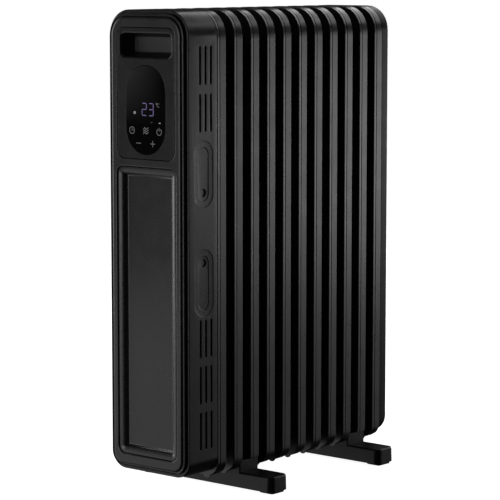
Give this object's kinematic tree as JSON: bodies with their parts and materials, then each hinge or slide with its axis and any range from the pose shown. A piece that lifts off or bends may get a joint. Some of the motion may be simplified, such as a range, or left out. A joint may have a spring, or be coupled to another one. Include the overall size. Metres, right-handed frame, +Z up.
{
  "type": "oil filled radiator heater",
  "caption": "Free-standing oil filled radiator: upright pressed fins on two headers, a control housing with touch display and grip recess, an end cover and two cross feet.",
  "frame": {"origin": "middle of the footprint, on the floor under the foot pads", "axes": "+Z up; the control panel faces -Y; +X is to the right of someone who looks along +Y at the control panel"},
  "size_m": [0.236, 0.433, 0.6465],
  "materials": {
    "housing": "satin black, fine moulded grain",
    "fascia": "satin black",
    "bezel": "satin black",
    "display": "high gloss black",
    "panel": "satin black",
    "end_cover": "satin black",
    "fin_paint": "satin black powder coat",
    "feet": "satin black",
    "pads": "matte black",
    "zinc": "zinc plated",
    "screws": "black",
    "shield": "galvanised",
    "plugs": "brass",
    "end_plugs": "satin black",
    "element": "heat tinted",
    "board": "solder mask",
    "white_parts": "satin",
    "steel_parts": "satin",
    "dark_parts": "matte",
    "weight": "brass"
  },
  "bodies": {
    "heater": {"housing_shell": "housing", "front_fascia": "fascia", "control_bezel": "bezel", "grip_recess": "bezel", "display_glass": "display", "lower_panel": "panel", "rear_cover": "end_cover", "fin_01": "fin_paint", "fin_02": "fin_paint", "fin_03": "fin_paint", "fin_04": "fin_paint", "fin_05": "fin_paint", "fin_06": "fin_paint", "fin_07": "fin_paint", "fin_08": "fin_paint", "fin_09": "fin_paint", "fin_10": "fin_paint", "fin_11": "fin_paint", "front_foot": "feet", "rear_foot": "feet", "front_foot_pad_left": "pads", "front_foot_pad_right": "pads", "rear_foot_pad_left": "pads", "rear_foot_pad_right": "pads", "front_foot_bolt": "zinc", "rear_foot_bolt": "zinc", "front_wing_nut_left": "zinc", "front_wing_nut_right": "zinc", "rear_wing_nut_left": "zinc", "rear_wing_nut_right": "zinc", "housing_screw_lower_left": "screws", "housing_screw_upper_left": "screws", "housing_screw_lower_right": "screws", "housing_screw_upper_right": "screws", "heat_shield": "shield", "oil_filler_plug": "plugs", "element_plug": "plugs", "upper_end_plug": "end_plugs", "lower_end_plug": "end_plugs", "element_hairpin_low": "element", "element_hairpin_high": "element", "display_board": "board", "power_board": "board", "relay_low": "white_parts", "relay_high": "white_parts", "terminal_block": "white_parts", "room_sensor": "white_parts", "tilt_switch_case": "white_parts", "light_guide": "white_parts", "supply_transformer": "steel_parts", "thermal_cutout": "steel_parts", "tilt_switch_pin": "steel_parts", "buzzer": "dark_parts", "cord_inlet": "dark_parts"},
    "tilt_weight": {"tilt_switch_weight": "weight"}
  },
  "joints": [
    {"name": "tilt_weight_swing", "type": "hinge", "parent": "heater", "child": "tilt_weight", "pos_m": [0.036, -0.19145, 0.196], "axis": [0, 1, 0], "range_deg": [-25, 25]}
  ]
}
